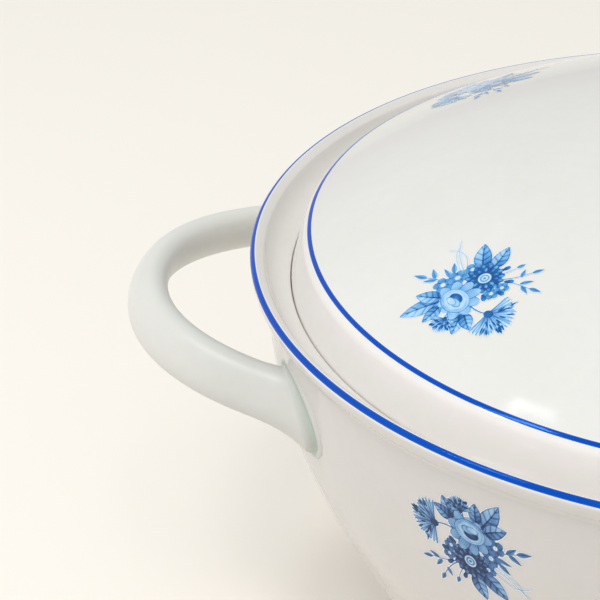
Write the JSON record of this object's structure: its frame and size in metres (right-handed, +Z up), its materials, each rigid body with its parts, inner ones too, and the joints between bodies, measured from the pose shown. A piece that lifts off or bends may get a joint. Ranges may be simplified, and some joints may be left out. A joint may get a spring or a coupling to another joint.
{
  "type": "soup tureen",
  "caption": "Round lidded soup tureen in glazed porcelain with strap handles, an inner ledge that seats the domed lid, and a turned knob.",
  "frame": {"origin": "centre of the foot ring's resting face", "axes": "+Z up along the axis of the bowl and lid, +X and -X through the middles of the two handles"},
  "size_m": [0.3134, 0.2512, 0.1749],
  "materials": {
    "bowl_glaze": "clear gloss glaze over white porcelain, cobalt band fired on the lip, blue flower transfers, bare foot ring",
    "handle_glaze": "clear gloss glaze over white porcelain",
    "lid_glaze": "clear gloss glaze over white porcelain, thin cobalt line at the shoulder, blue flower transfers",
    "knob_glaze": "clear gloss glaze over white porcelain with thin cobalt lines",
    "fired_blue": "cobalt lines and flower transfers fired under the glaze",
    "bare_foot": "bare fired clay, wiped clean of glaze"
  },
  "bodies": {
    "bowl": {"bowl": "bowl_glaze", "handle_left": "handle_glaze", "handle_right": "handle_glaze"},
    "lid": {"lid": "lid_glaze", "lid_knob": "knob_glaze"}
  },
  "joints": [
    {"name": "lid_lift", "type": "slide", "parent": "bowl", "child": "lid", "axis": [0, 0, 1], "range_m": [0, 0.14]}
  ]
}
